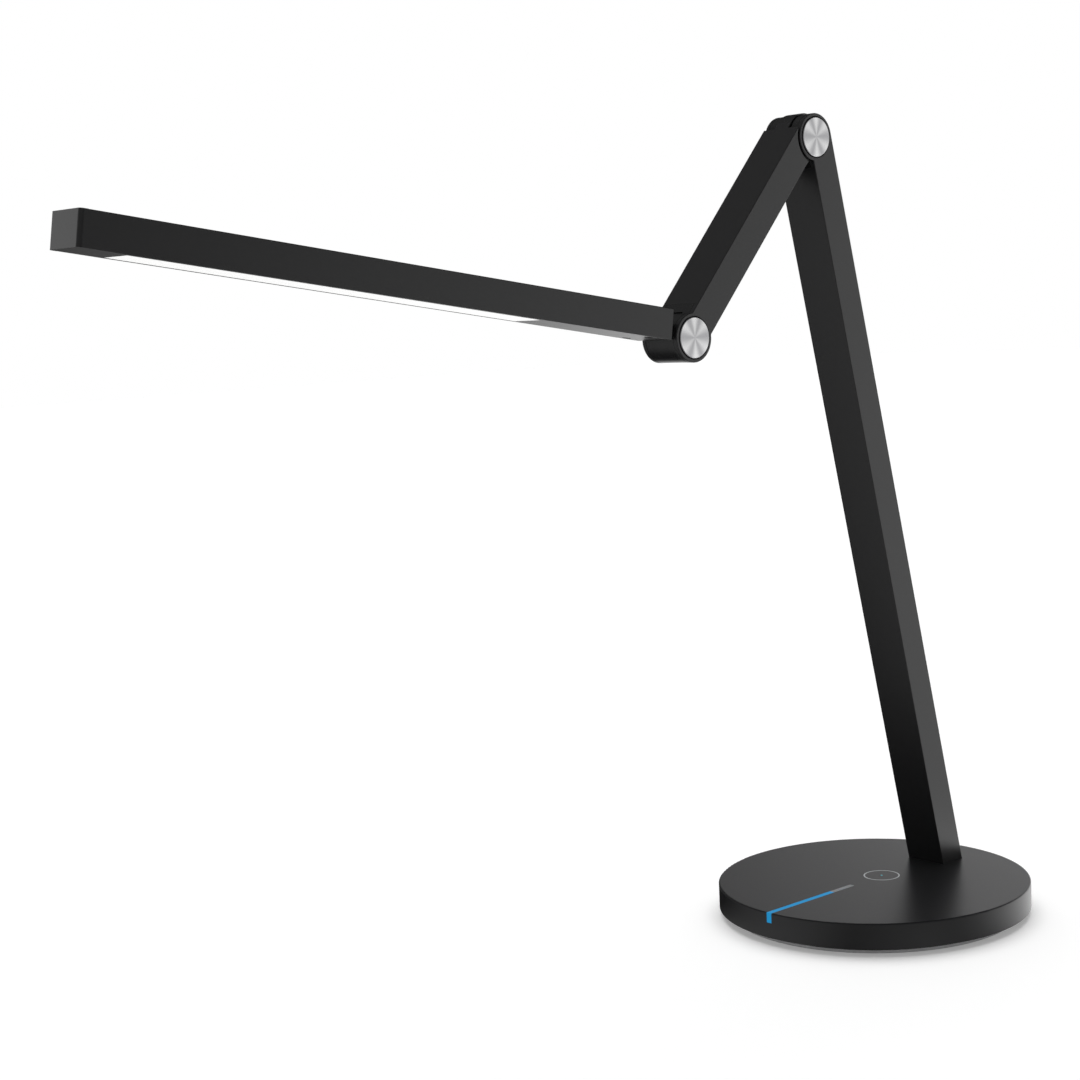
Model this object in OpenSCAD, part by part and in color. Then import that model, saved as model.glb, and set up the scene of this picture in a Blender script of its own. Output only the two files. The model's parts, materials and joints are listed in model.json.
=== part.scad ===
// Folding LED desk lamp: a weighted round base, a leaning post, a short arm and a long
// light bar, joined by two friction hinges. Millimetres. +X runs forward under the light
// bar, +Y along the hinge axes, +Z up. The origin is the centre of the foot, on the table.

/* [Base] */
// Diameter of the base cover
base_d = 190; // [180:1:210]
// Height of the base cover's outer wall
base_wall_h = 15.2; // [15:0.1:18]
// Wall thickness of the base cover
shell_t = 2.2; // [1.8:0.1:2.6]
// Radius on the base cover's top edge
shell_edge_r = 0.8; // [0.4:0.1:1.4]
// Height of the cover's rim above the table
rim_lift = 4.6; // [4.2:0.1:6]
// How far the foot stands in from the cover's outer wall
foot_inset = 7.6; // [5:0.1:12]
// Thickness of the non-slip foot pad
pad_t = 1.8; // [1.2:0.1:2.4]
// Thickness of the bottom plate's flange inside the cover
flange_t = 2; // [1.5:0.1:2.5]
// Gap between the ballast and the cover's inner wall
weight_inset = 8.8; // [7:0.1:12]
// Height left between the ballast and the cover for the control board
board_room = 2.2; // [2.1:0.05:2.6]
// Thickness of the control board
board_t = 1.6; // [1.2:0.1:1.6]

/* [Touch controls] */
// Place of the touch ring along X
ring_x = -8.2; // [-14:0.1:-4]
// Outer radius of the touch ring
ring_r = 11.1; // [9:0.1:13]
// Width of the touch ring's line
ring_w = 0.8; // [0.6:0.1:1.2]
// Depth of the ring's groove in the cover
ring_depth = 1.2; // [0.8:0.1:1.4]
// Radius of the indicator in the ring's centre
dot_r = 0.7; // [0.5:0.1:1.2]
// Width of the dimmer strip
strip_w = 3.6; // [2.8:0.1:5]
// Place along X where the dimmer strip begins
strip_x = 19.8; // [14:0.1:30]
// How far the strip runs down the cover's wall
strip_drop = 6; // [4.5:0.1:8]

/* [Power inlet] */
// Radius of the inlet's socket
socket_r = 2.75; // [2.5:0.05:3]
// Depth of the inlet's socket
socket_depth = 9.5; // [8:0.1:10]
// Radius of the inlet's centre pin
pin_r = 1.05; // [0.8:0.05:1.25]
// Outer radius of the inlet's nose in the cover's wall
nose_r = 3.9; // [3.6:0.1:4.2]

/* [Post] */
// Lean of the post from upright, in degrees
post_lean = 13; // [10:0.5:16]
// Length of the post from the base's top to the upper hinge
post_len = 461.8; // [380:0.1:500]
// Width of the post, along the hinge axis
post_w = 27.3; // [26.6:0.1:30]
// Depth of the post
post_d = 18.9; // [18:0.1:20]
// Distance from the cover's rear edge to the post's middle, on the base's top
post_inset = 33.5; // [28:0.1:38]
// Depth to which the hinge and foot blocks reach into their beams
plug_len = 44; // [30:1:60]

/* [Arm] */
// Tilt of the arm from upright, in degrees
arm_pitch = 42; // [30:0.5:60]
// Distance between the two hinges, along the arm
arm_len = 152.3; // [140:0.1:200]
// Width of the arm, along the hinge axis
arm_w = 27; // [26.6:0.1:30]
// Depth of the arm
arm_d = 18.7; // [18:0.1:19.2]
// Distance from the lower hinge to the arm's front face
arm_front = 9.45; // [9:0.05:9.8]

/* [Beams and hinges] */
// Wall thickness of the post and arm
beam_t = 2.6; // [2:0.1:2.8]
// Radius along the beams' corners
beam_edge_r = 0.4; // [0.3:0.1:1]
// Radius of the round hinge knuckles
knuckle_r = 13.6; // [13:0.1:13.8]
// Radius of the arm's tongue in the upper hinge
tongue_r = 14.3; // [14:0.05:14.5]
// Width of the tongues between their forks
tongue_w = 10.6; // [10:0.1:12]
// Gap between a fork's round end and the beam that turns round it
ear_gap = 1.6; // [1.2:0.1:2]
// Distance from a hinge axis to where the beam's front and rear walls stop
shoulder = 16.5; // [15.5:0.1:18]
// Radius of the hinge bolts
bolt_r = 3; // [2.5:0.1:3.5]
// Wall thickness of the bushings
bushing_t = 1.45; // [1:0.05:2]
// Thickness of the friction washers
washer_t = 0.6; // [0.4:0.05:0.8]
// Radius of the friction washers
washer_r = 8.5; // [7:0.1:10]
// Thickness of one disc spring
spring_t = 0.55; // [0.4:0.05:0.6]
// Radius of the disc springs
spring_r = 6.2; // [5.4:0.1:6.6]
// Height of the hinge bolts' heads and nuts
bolt_head_h = 2; // [1.5:0.1:2.1]
// Radius of the hinge bolts' heads
bolt_head_r = 5.2; // [4.6:0.1:5.6]
// Radius of the turned discs that cover the hinges
cap_r = 11.2; // [10.5:0.1:11.5]
// Width of the groove round each disc
cap_groove = 0.7; // [0.4:0.1:1]
// How far the discs stand out of the side faces
cap_proud = 0.65; // [0.3:0.05:1]
// Thickness of the discs' faces
cap_face_t = 1; // [0.8:0.1:1.2]
// Width of the bevel round each disc's face
cap_bevel = 0.5; // [0.3:0.1:0.8]
// Thickness of the discs' rims round their hollow
cap_rim_t = 3.1; // [2:0.1:4]
// Running clearance of the bolts in their bushings
run_gap = 0.05; // [0.02:0.01:0.09]
// Clearance between pieces that are fitted together
fit_gap = 0.05; // [0.03:0.01:0.1]

/* [Light bar] */
// Tilt of the light bar above level, in degrees
head_pitch = 9; // [0:0.5:20]
// Distance from the lower hinge to the light bar's near end
head_start = 16.8; // [16:0.1:20]
// Distance from the lower hinge to the light bar's free end
head_end = 375.9; // [330:0.1:400]
// Width of the light bar
head_w = 26.1; // [24:0.1:28]
// Height of the light bar
head_h = 16.9; // [16:0.1:17.5]
// How far the light bar's underside lies below the lower hinge
head_drop = 3.1; // [2.5:0.1:4]
// Wall thickness of the light bar
head_t = 1.2; // [1:0.1:1.5]
// Radius on the free end's upright corners
head_corner_r = 2; // [1:0.1:3]
// Height of the light bar's neck above the hinge axis
neck_h = 5.5; // [4:0.1:6]
// Width of the housing's rim along each side of the light window
window_rim = 3; // [2:0.1:4]
// Distance from the lower hinge to the start of the light window
window_x0 = 109.3; // [80:0.1:140]
// Distance from the light window's end to the light bar's free end
window_margin = 25.8; // [22:0.1:60]
// Thickness of the diffuser, up to the top of its flange
diffuser_t = 2.8; // [2.4:0.1:3.2]
// Distance between neighbouring LED chips
led_pitch = 8; // [6:0.5:12]
// Distance from the lower hinge to the light bar's two screws
head_screw_x = 29.9; // [26:0.1:40]
// Distance of each of these screws from the middle
head_screw_y = 8.6; // [7.5:0.1:9]
// Radius of the holes for these screws
head_hole_r = 2.5; // [2:0.1:2.8]

/* [Wiring] */
// Radius of the wires inside the post, arm and light bar
wire_r = 0.9; // [0.7:0.05:1]

/* [Hidden] */
$fn = 96;

black = [0.13, 0.13, 0.135];
silver = [0.78, 0.78, 0.8];
steel = [0.55, 0.56, 0.58];
bronze = [0.7, 0.5, 0.3];
board_green = [0.05, 0.35, 0.2];

// How far cuts and joined blocks run past the faces that they meet
past = 1;
// Half the length of a bore that runs right through a hinge
through = 50;

base_r = base_d / 2;
top_z = rim_lift + base_wall_h;
shell_inner_r = base_r - shell_t;
shell_inner_z = top_z - shell_t;
foot_r = base_r - foot_inset;
flange_step = 0.4;
flange_z = rim_lift + flange_step;
weight_z = flange_z + flange_t;
weight_top = shell_inner_z - board_room;
weight_r = shell_inner_r - weight_inset;
board_top = weight_top + board_t;
post_x = post_inset - base_r;
window_x1 = head_end - window_margin;

// The control board and the chips on it
board_half = 9;
board_round_r = 16;
board_end_gap = 12;
board_end = base_r - board_end_gap;
board_hole_r = 1.2;
board_hole_inset = 2.5;
chip_h = 0.4;
chip_inset = 1;
strip_led_pitch = 6;
strip_led_l = 2;
strip_led_w = 1.4;
touch_chip_w = 5;
driver_chip_l = 7;
driver_chip_w = 4;

// The power inlet's body, nose and pin
jack_len = 12;
jack_half = 4.5;
jack_h = 10;
jack_z = weight_z + fit_gap + jack_h / 2;
jack_wall_gap = 0.4;
nose_sink = 0.12;
jack_face = nose_sink - base_r;
pin_sink = 1.5;

screw_r = 1.5;
screw_head_r = 2.8;
screw_head_h = 2;
head_screw_head_h = 1.5;
recess_l = 3.2;
recess_w = 0.65;
recess_depth = 1;
screw_room = 0.2;
boss_r = 3.5;
boss_room = 0.6;
screw_circle_r = foot_r - 10;
screw_angles = [45, 135, 225, 315];
screw_bite = 7;

foot_bolt_r = 2.5;
foot_bolt_head_r = 4.25;
foot_bolt_head_h = 4.2;
foot_bolt_y = 6.2;
foot_bolt_reach = 16;
foot_bolt_hex_r = 2.3;
foot_bolt_hex_depth = 2.5;
foot_block_h = 34;
grip_shares = [0.7, 0.86];
grip_half = 1;
hinge_hex_r = 2.4;
hinge_hex_depth = 1.2;

// How far the post's raw length runs on below the base's top, before it is cut level
below_top = 40;

// The upper hinge, from the post's own length, lean and depth
hinge_ahead = post_d / 2 - (post_d - knuckle_r);
h1_x = post_x + post_len * sin(post_lean) + hinge_ahead * cos(post_lean);
h1_z = top_z + post_len * cos(post_lean) - hinge_ahead * sin(post_lean);
post_front = post_d - knuckle_r;

// The lower hinge, at the arm's far end; hinge_step is the shift between the arm's two
// hinge axes across its depth
hinge_step = tongue_r - arm_front;
h2_x = h1_x + hinge_step * cos(arm_pitch) + arm_len * sin(arm_pitch);
h2_z = h1_z + hinge_step * sin(arm_pitch) - arm_len * cos(arm_pitch);
arm_rear = arm_d - arm_front;

// The upper washers fill the gaps beside the tongue; the lower ones are sunk in it, so the
// light bar's barrel runs flush between its ears
tongue_half = tongue_w / 2;
slot_half = tongue_half + washer_t + run_gap;
flush_slot_half = tongue_half + run_gap;
sweep_gap = 0.6;
wire_room = 0.5;
bore_floor = 2;

module in_post_frame() translate([h1_x, 0, h1_z]) rotate([0, post_lean, 0]) children();
module in_arm_frame() translate([h2_x, 0, h2_z]) rotate([0, -arm_pitch, 0]) children();
module in_arm_top_frame() in_arm_frame() translate([-hinge_step, 0, arm_len]) children();
module in_head_frame() translate([h2_x, 0, h2_z]) rotate([0, -head_pitch, 0]) children();

// A round rod along Y from y0 to y1
module rod_y(r, y0, y1) translate([0, y0, 0]) rotate([-90, 0, 0]) cylinder(r = r, h = y1 - y0);

// A round rod along X from x0 to x1
module rod_x(r, x0, x1) translate([x0, 0, 0]) rotate([0, 90, 0]) cylinder(r = r, h = x1 - x0);

// A knuckle: a round rod along Y, as wide as its beam, with both rims rounded like the
// beam's corners
module knuckle(r, half, edge) rotate([-90, 0, 0]) rotate_extrude() {
    translate([0, -half]) square([r - edge, 2 * half]);
    translate([0, edge - half]) square([r, 2 * (half - edge)]);
    for (side = [-1, 1]) translate([r - edge, side * (half - edge)]) circle(r = edge, $fn = 32);
}

// A block between two corners
module block(low, high) translate(low) cube(high - low);

// A rectangle with round corners, between two corners
module round_rect(low, high, r) {
    translate(low + [r, 0]) square(high - low - [2 * r, 0]);
    translate(low + [0, r]) square(high - low - [0, 2 * r]);
    for (x = [low[0] + r, high[0] - r], y = [low[1] + r, high[1] - r])
        translate([x, y]) circle(r = r, $fn = 32);
}

// A beam along Z with rounded corners
module beam_z(x0, x1, half, z0, z1, r)
    translate([0, 0, z0]) linear_extrude(z1 - z0) round_rect([x0, -half], [x1, half], r);

// A beam along X with rounded corners
module beam_x(z0, z1, half, x0, x1, r)
    translate([x0, 0, 0]) rotate([90, 0, 90]) linear_extrude(x1 - x0)
        round_rect([-half, z0], [half, z1], r);

// A wire through a list of points: a rod for each stretch and a ball at each bend
module wire(points, r) {
    for (i = [0 : len(points) - 2]) {
        run = points[i + 1] - points[i];
        translate(points[i]) rotate([0, acos(run[2] / norm(run)), atan2(run[1], run[0])])
            cylinder(r = r, h = norm(run), $fn = 32);
    }
    if (len(points) > 2)
        for (i = [1 : len(points) - 2]) translate(points[i]) sphere(r = r, $fn = 32);
}

// A cross recess for a screwdriver, in a head that faces down at z = 0
module cross_recess()
    for (turn = [0, 90]) rotate([0, 0, turn])
        block([-recess_l / 2, -recess_w / 2, -past], [recess_l / 2, recess_w / 2, recess_depth]);

// ---- Base ----

module at_base_screws()
    for (a = screw_angles) rotate([0, 0, a]) translate([screw_circle_r, 0, 0]) children();

module at_foot_bolts()
    for (y = [-foot_bolt_y, foot_bolt_y])
        translate([foot_bolt_x, y, 0]) children();

// The bolts stand upright in the leaning foot block, halfway across its drift
foot_bolt_x = post_x + (foot_bolt_reach / 2 - (top_z - weight_top)) * tan(post_lean);

// Outline of the cover: a disc with a small radius round its top edge
module cover_outline() {
    square([base_r, base_wall_h - shell_edge_r]);
    square([base_r - shell_edge_r, base_wall_h]);
    translate([base_r - shell_edge_r, base_wall_h - shell_edge_r])
        circle(r = shell_edge_r, $fn = 48);
}

// The dimmer strip's path: along the top to the rim, then down the wall to a round end
module strip_path(gap) {
    half = strip_w / 2 + gap;
    block([strip_x - gap, -half, shell_inner_z - gap], [base_r + past, half, top_z + past]);
    block([shell_inner_r - gap, -half, top_z - strip_drop + strip_w / 2],
        [base_r + past, half, top_z + past]);
    translate([0, 0, top_z - strip_drop + strip_w / 2])
        rod_x(half, shell_inner_r - gap, base_r + past);
}

module base_shell() color(black) difference() {
    union() {
        difference() {
            translate([0, 0, rim_lift]) rotate_extrude($fn = 180) cover_outline();
            translate([0, 0, rim_lift - past])
                cylinder(r = shell_inner_r, h = shell_inner_z - rim_lift + past, $fn = 180);
        }
        at_base_screws() translate([0, 0, weight_z + fit_gap])
            cylinder(r = boss_r, h = shell_inner_z - weight_z, $fn = 48);
    }
    at_base_screws() translate([0, 0, weight_z - past])
        cylinder(r = screw_r + fit_gap, h = screw_bite + screw_room + past, $fn = 32);
    translate([ring_x, 0, top_z - ring_depth]) difference() {
        cylinder(r = ring_r + fit_gap, h = ring_depth + past);
        translate([0, 0, -past])
            cylinder(r = ring_r - ring_w - fit_gap, h = ring_depth + 3 * past);
    }
    translate([ring_x, 0, shell_inner_z - past])
        cylinder(r = dot_r + fit_gap, h = shell_t + 2 * past);
    strip_path(fit_gap);
    translate([0, 0, jack_z])
        rod_x(nose_r + 3 * fit_gap, -base_r - past, -shell_inner_r + past);
    in_post_frame() beam_z(-knuckle_r - fit_gap, post_front + fit_gap, post_w / 2 + fit_gap,
        -post_len - below_top, -post_len / 2, beam_edge_r);
}

module base_weight() color(steel) difference() {
    translate([0, 0, weight_z]) cylinder(r = weight_r, h = weight_top - weight_z, $fn = 180);
    at_base_screws() translate([0, 0, weight_z - past])
        cylinder(r = boss_r + boss_room, h = base_wall_h, $fn = 48);
    at_foot_bolts() translate([0, 0, weight_z - past]) {
        cylinder(r = foot_bolt_r + screw_room, h = base_wall_h, $fn = 48);
        cylinder(r = foot_bolt_head_r + screw_room,
            h = foot_bolt_head_h + screw_room + past, $fn = 48);
    }
    // Room for the power inlet
    block([-base_r, -jack_half - boss_room, weight_z - past],
        [-shell_inner_r + jack_len + past, jack_half + boss_room, top_z]);
}

module base_plate() color(black) difference() {
    union() {
        translate([0, 0, pad_t]) cylinder(r = foot_r, h = flange_z - pad_t, $fn = 180);
        translate([0, 0, flange_z])
            cylinder(r = shell_inner_r - 2 * fit_gap, h = flange_t, $fn = 180);
    }
    at_base_screws() translate([0, 0, pad_t - past]) {
        cylinder(r = screw_r + screw_room, h = weight_z + past, $fn = 32);
        cylinder(r = screw_head_r + screw_room, h = screw_head_h + past, $fn = 48);
    }
}

module foot_pad() color([0.45, 0.45, 0.46]) difference() {
    cylinder(r = foot_r, h = pad_t, $fn = 180);
    // Two grip grooves in the underside
    for (share = grip_shares) translate([0, 0, -past]) difference() {
        cylinder(r = foot_r * share + grip_half, h = past + pad_t / 3);
        translate([0, 0, -past]) cylinder(r = foot_r * share - grip_half, h = pad_t + 3 * past);
    }
}

module base_screws() color(steel) at_base_screws() translate([0, 0, pad_t]) difference() {
    union() {
        cylinder(r = screw_head_r, h = screw_head_h, $fn = 48);
        cylinder(r = screw_r, h = weight_z - pad_t + screw_bite, $fn = 32);
    }
    cross_recess();
}

module touch_ring() color([0.75, 0.77, 0.78])
    translate([ring_x, 0, top_z - ring_depth]) difference() {
        cylinder(r = ring_r, h = ring_depth);
        translate([0, 0, -past]) cylinder(r = ring_r - ring_w, h = ring_depth + 2 * past);
    }

module status_dot() color([0.1, 0.6, 0.7])
    translate([ring_x, 0, board_top + chip_h + fit_gap])
        cylinder(r = dot_r, h = top_z - board_top - chip_h - fit_gap, $fn = 32);

module dimmer_guide() color([0.15, 0.55, 0.85]) difference() {
    intersection() {
        strip_path(0);
        translate([0, 0, rim_lift]) rotate_extrude($fn = 180) cover_outline();
    }
    translate([0, 0, rim_lift]) cylinder(r = shell_inner_r, h = shell_inner_z - rim_lift);
}

module control_board() color(board_green) difference() {
    translate([0, 0, weight_top]) linear_extrude(board_t) {
        translate([ring_x, 0]) circle(r = board_round_r);
        translate([ring_x, -board_half]) square([board_end - ring_x, 2 * board_half]);
    }
    for (x = [ring_x + board_round_r + board_hole_inset, board_end - board_hole_inset],
            side = [-1, 1])
        translate([x, side * (board_half - board_hole_inset), weight_top - past])
            cylinder(r = board_hole_r, h = board_t + 2 * past, $fn = 24);
}

// A chip on the board, centred at x, y
module chip(x, y, length, width)
    block([x - length / 2, y - width / 2, board_top],
        [x + length / 2, y + width / 2, board_top + chip_h]);

module board_parts() color("ivory") {
    // LEDs under the dimmer strip, and the indicator's LED
    for (x = [strip_x + strip_led_pitch / 2 : strip_led_pitch : board_end - strip_led_l])
        chip(x, 0, strip_led_l, strip_led_w);
    chip(ring_x, 0, strip_led_w, strip_led_w);
    // The touch chip beside the ring, and the driver further out
    chip(ring_x + board_round_r / 2, board_half - chip_inset - touch_chip_w / 2,
        touch_chip_w, touch_chip_w);
    chip(ring_x + 2 * board_round_r, board_half - chip_inset - driver_chip_w / 2,
        driver_chip_l, driver_chip_w);
}

module dc_jack() color([0.1, 0.1, 0.1]) translate([0, 0, jack_z]) {
    difference() {
        union() {
            rod_x(nose_r, jack_face, -shell_inner_r + past);
            block([-shell_inner_r + jack_wall_gap, -jack_half, -jack_h / 2],
                [-shell_inner_r + jack_len, jack_half, jack_h / 2]);
        }
        rod_x(socket_r, jack_face - past, jack_face + socket_depth);
    }
    rod_x(pin_r, jack_face + pin_sink, jack_face + socket_depth + past);
}

// ---- Post ----

// The post's whole outer form: the beam and its round hinge end
module post_form(shrink, z0) {
    half = post_w / 2 - shrink;
    beam_z(-knuckle_r, post_front, half, z0, 0, beam_edge_r);
    knuckle(knuckle_r, half, beam_edge_r);
}

// What lies inside a beam's walls, less a clearance
module post_core(gap, z0, z1)
    block([-knuckle_r + beam_t + gap, -post_w / 2 + beam_t + gap, z0],
        [post_front - beam_t - gap, post_w / 2 - beam_t - gap, z1]);

module below_post()
    block([-base_r, -base_r, -2 * below_top], [base_r, base_r, weight_top]);

// The wire's way in, through the post's front wall under the cover
module wire_gate() block([post_x - 2 * wire_r, -wire_r - wire_room, weight_top - past],
    [post_x + post_w, wire_r + wire_room, weight_top + 2 * (wire_r + wire_room)]);

post_wire_x = (post_front - knuckle_r) / 2;

module post_wire_bore(z0, z1)
    translate([post_wire_x, 0, z0]) cylinder(r = wire_r + wire_room, h = z1 - z0, $fn = 32);

module post_beam() color(black) difference() {
    in_post_frame() difference() {
        post_form(0, -post_len - below_top);
        post_core(0, -post_len - 2 * below_top, -shoulder + past);
        block([-2 * knuckle_r, -post_w / 2 + beam_t, -shoulder],
            [2 * knuckle_r, post_w / 2 - beam_t, 2 * knuckle_r]);
        rod_y(cap_r + cap_groove, -post_w, post_w);
    }
    below_post();
    wire_gate();
}

module post_foot() color(steel) difference() {
    in_post_frame() difference() {
        post_core(fit_gap, -post_len - below_top, -post_len + foot_block_h);
        post_wire_bore(-post_len - 2 * below_top, 0);
    }
    below_post();
    wire_gate();
    at_foot_bolts() cylinder(r = foot_bolt_r + fit_gap, h = weight_top + foot_bolt_reach, $fn = 48);
}

module post_foot_bolts() color(steel) at_foot_bolts() difference() {
    union() {
        translate([0, 0, weight_z])
            cylinder(r = foot_bolt_head_r, h = foot_bolt_head_h, $fn = 48);
        translate([0, 0, weight_z]) cylinder(r = foot_bolt_r,
            h = weight_top - weight_z + foot_bolt_reach - past, $fn = 48);
    }
    translate([0, 0, weight_z - past])
        cylinder(r = foot_bolt_hex_r, h = foot_bolt_hex_depth + past, $fn = 6);
}

module post_fork() color(black) in_post_frame() difference() {
    union() {
        intersection() {
            post_form(beam_t + fit_gap, -shoulder + fit_gap);
            block([-2 * knuckle_r, -post_w, -shoulder + fit_gap],
                [2 * knuckle_r, post_w, 2 * knuckle_r]);
        }
        post_core(fit_gap, -shoulder - plug_len, -shoulder + past);
    }
    rod_y(tongue_r + sweep_gap, -slot_half, slot_half);
    fork_bores(post_w / 2 - beam_t - fit_gap);
    post_wire_bore(-shoulder - plug_len - past, 0);
}

module post_wire() color("dimgray") {
    post_down = [-sin(post_lean), 0, -cos(post_lean)];
    axis_point = [h1_x + post_wire_x * cos(post_lean), 0, h1_z - post_wire_x * sin(post_lean)];
    low_z = weight_top + wire_r + 2 * fit_gap;
    turn = axis_point + post_down * ((axis_point[2] - low_z) / cos(post_lean));
    wire([[ring_x - board_round_r - fit_gap, 0, low_z], turn,
        axis_point + post_down * (tongue_r + sweep_gap + past)], wire_r);
}

// ---- Hinges: every piece turns about Y, and half is half the fork's width ----

// The bolt's hole in both ears, and the sink for the disc springs in the far one.
// seat is the outer face of the ears.
module fork_bores(seat) {
    rod_y(bolt_r + fit_gap, -through, through);
    rod_y(spring_r + fit_gap, -through, -seat + 2 * spring_t);
}

module hinge_bolt(half) color(steel) {
    seat = half - beam_t - fit_gap;
    rod_y(bolt_r, -seat - bolt_head_h, seat + bolt_head_h - hinge_hex_depth);
    difference() {
        rod_y(bolt_head_r, seat, seat + bolt_head_h);
        translate([0, seat + bolt_head_h - hinge_hex_depth, 0]) rotate([-90, 0, 0])
            cylinder(r = hinge_hex_r, h = hinge_hex_depth + past, $fn = 6);
    }
}

module hinge_nut(half) color(steel) {
    seat = half - beam_t - fit_gap;
    translate([0, -seat, 0]) rotate([90, 0, 0]) difference() {
        cylinder(r = bolt_head_r, h = bolt_head_h, $fn = 6);
        translate([0, 0, -past])
            cylinder(r = bolt_r + fit_gap, h = bolt_head_h + 2 * past, $fn = 48);
    }
}

// Two disc springs, one on the other, sunk in the far ear
module hinge_springs(half) color(silver) {
    seat = half - beam_t - fit_gap;
    for (i = [0, 1]) difference() {
        rod_y(spring_r, -seat + i * spring_t, -seat + (i + 1) * spring_t);
        rod_y(bolt_r + run_gap, -through, through);
    }
}

// The two washers, each against the inner face of an ear
module hinge_washers(slot) color(bronze) for (side = [0, 1]) mirror([0, side, 0]) difference() {
    rod_y(washer_r, slot - washer_t, slot);
    rod_y(bolt_r + run_gap, -through, through);
}

module hinge_bushing(half) color(bronze) difference() {
    rod_y(bolt_r + run_gap + bushing_t, -half, half);
    rod_y(bolt_r + run_gap, -through, through);
}

module bushing_bore() rod_y(bolt_r + run_gap + bushing_t + fit_gap, -through, through);

// A turned disc with a bevelled face, hollow behind for the bolt's head or nut
module hinge_cap(half, side) color(silver) mirror([0, side, 0]) rotate([-90, 0, 0]) {
    seat = half - beam_t - fit_gap;
    face = half + cap_proud;
    rotate_extrude() polygon([[0, face], [cap_r - cap_bevel, face], [cap_r, face - cap_bevel],
        [cap_r, seat], [cap_r - cap_rim_t, seat], [cap_r - cap_rim_t, face - cap_face_t],
        [0, face - cap_face_t]]);
}

// ---- Arm ----

module arm_form(shrink) {
    half = arm_w / 2 - shrink;
    beam_z(-arm_rear, arm_front, half, 0, arm_len, beam_edge_r);
    knuckle(knuckle_r, half, beam_edge_r);
}

module arm_core(gap, z0, z1)
    block([-arm_rear + beam_t + gap, -arm_w / 2 + beam_t + gap, z0],
        [arm_front - beam_t - gap, arm_w / 2 - beam_t - gap, z1]);

// The round clearance for the post's fork, at the arm's upper hinge
module ear_sweep(y0, y1)
    translate([-hinge_step, 0, arm_len]) rod_y(knuckle_r + ear_gap, y0, y1);

// The strip of front wall that runs on up the tongue
module tongue_strip(gap)
    block([arm_front - beam_t - gap, -tongue_half - gap, arm_len - shoulder],
        [arm_front + gap, tongue_half + gap, arm_len + gap]);

arm_wire_x = (arm_front - arm_rear) / 2;

module arm_wire_bore(z0, z1)
    translate([arm_wire_x, 0, z0]) cylinder(r = wire_r + wire_room, h = z1 - z0, $fn = 32);

module arm_beam() color(black) in_arm_frame() {
    difference() {
        arm_form(0);
        arm_core(0, shoulder - past, arm_len + past);
        block([-2 * knuckle_r, -arm_w / 2 + beam_t, -2 * knuckle_r],
            [2 * knuckle_r, arm_w / 2 - beam_t, shoulder]);
        rod_y(cap_r + cap_groove, -arm_w, arm_w);
        ear_sweep(-arm_w, arm_w);
    }
    tongue_strip(0);
}

module arm_tongue() color(black) in_arm_frame() difference() {
    union() {
        arm_core(fit_gap, arm_len - shoulder - plug_len, arm_len);
        translate([-hinge_step, 0, arm_len]) rod_y(tongue_r, -tongue_half, tongue_half);
    }
    ear_sweep(tongue_half, arm_w);
    ear_sweep(-arm_w, -tongue_half);
    tongue_strip(fit_gap);
    translate([-hinge_step, 0, arm_len]) bushing_bore();
    arm_wire_bore(arm_len - shoulder - plug_len - past,
        arm_len - bolt_r - bushing_t - bore_floor);
}

module arm_fork() color(black) in_arm_frame() difference() {
    union() {
        intersection() {
            arm_form(beam_t + fit_gap);
            block([-2 * knuckle_r, -arm_w, -2 * knuckle_r],
                [2 * knuckle_r, arm_w, shoulder - fit_gap]);
        }
        arm_core(fit_gap, shoulder - past, shoulder + plug_len);
    }
    rod_y(knuckle_r + sweep_gap, -flush_slot_half, flush_slot_half);
    fork_bores(arm_w / 2 - beam_t - fit_gap);
    arm_wire_bore(0, shoulder + plug_len + past);
}

module arm_wire() color("dimgray") in_arm_frame()
    wire([[arm_wire_x, 0, knuckle_r + sweep_gap + past],
        [arm_wire_x, 0, arm_len - bolt_r - bushing_t - bore_floor - past]], wire_r);

// ---- Light bar ----

head_half = head_w / 2;
head_top = head_h - head_drop;
cap_flange = 2 * head_corner_r;
cap_plug = 10;
housing_end = head_end - cap_flange;
inner_half = head_half - head_t;
inner_low = -head_drop + head_t;
inner_high = head_top - head_t;
window_half = head_half - window_rim;
diffuser_top = diffuser_t - head_drop;
lip = 3;
led_board_t = 1.5;
led_board_margin = 2;
led_board_lead = 6;
led_l = 2.8;
led_w = 3.5;
led_h = 0.7;
led_x0 = window_x0 + lip;
led_x1 = window_x1 - lip;
reflector_t = 1;
trough_half = 4.5;
wire_rise = 7;
wire_tail = 9;

// The bar's outline seen from above, with the free end's corners rounded
module head_plan(x0, x1) {
    translate([x0, -head_half]) square([x1 - head_corner_r - x0, head_w]);
    translate([x0, -head_half + head_corner_r])
        square([x1 - x0, head_w - 2 * head_corner_r]);
    for (y = [-1, 1]) translate([x1 - head_corner_r, y * (head_half - head_corner_r)])
        circle(r = head_corner_r, $fn = 48);
}

module head_core(gap, x0, x1)
    block([x0, -inner_half + gap, inner_low + gap], [x1, inner_half - gap, inner_high - gap]);

module at_head_screws()
    for (y = [-head_screw_y, head_screw_y])
        translate([head_screw_x, y, -head_drop]) children();

module head_housing() color(black) in_head_frame() difference() {
    beam_x(-head_drop, head_top, head_half, head_start, housing_end, beam_edge_r);
    head_core(0, head_start - past, housing_end + past);
    block([window_x0, -window_half, -head_drop - past],
        [window_x1, window_half, inner_low + past]);
    at_head_screws() translate([0, 0, -past])
        cylinder(r = head_hole_r, h = head_t + 2 * past, $fn = 48);
}

module head_end_cap() color(black) in_head_frame() {
    translate([0, 0, -head_drop]) linear_extrude(head_h)
        head_plan(housing_end, head_end);
    head_core(fit_gap, housing_end - cap_plug, housing_end + past);
}

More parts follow.
